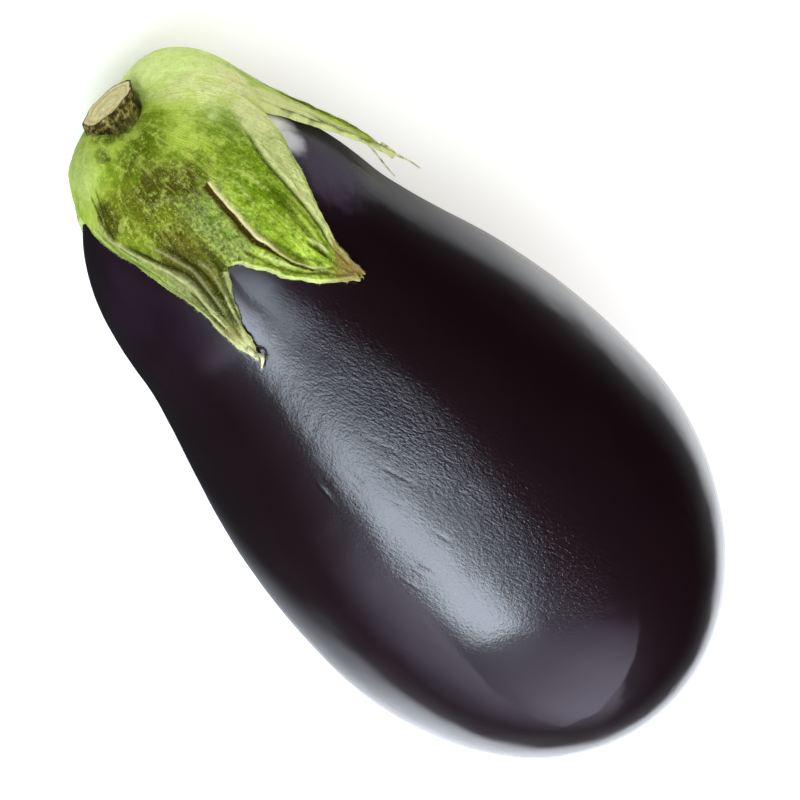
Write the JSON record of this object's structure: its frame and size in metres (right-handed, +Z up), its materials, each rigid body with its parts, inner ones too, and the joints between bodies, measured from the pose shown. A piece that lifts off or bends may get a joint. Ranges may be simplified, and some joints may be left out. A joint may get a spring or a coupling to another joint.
{
  "type": "eggplant",
  "caption": "Glossy dark globe-shaped fruit lying on its flank, with a lobed green calyx clasping its shoulder and a short cut stem.",
  "frame": {"origin": "centre of the small flat spot the fruit rests on", "axes": "+X along the fruit from the stem towards the blossom end, +Z up, +Y to the fruit's fuller shoulder"},
  "size_m": [0.1834, 0.0966, 0.0985],
  "materials": {
    "skin": "glossy, smooth, purple-black",
    "calyx": "matt, fibrous, mottled green",
    "stem": "matt, dry, brown"
  },
  "bodies": {
    "root": {"fruit": "skin", "calyx": "calyx", "stem": "stem"}
  },
  "joints": []
}
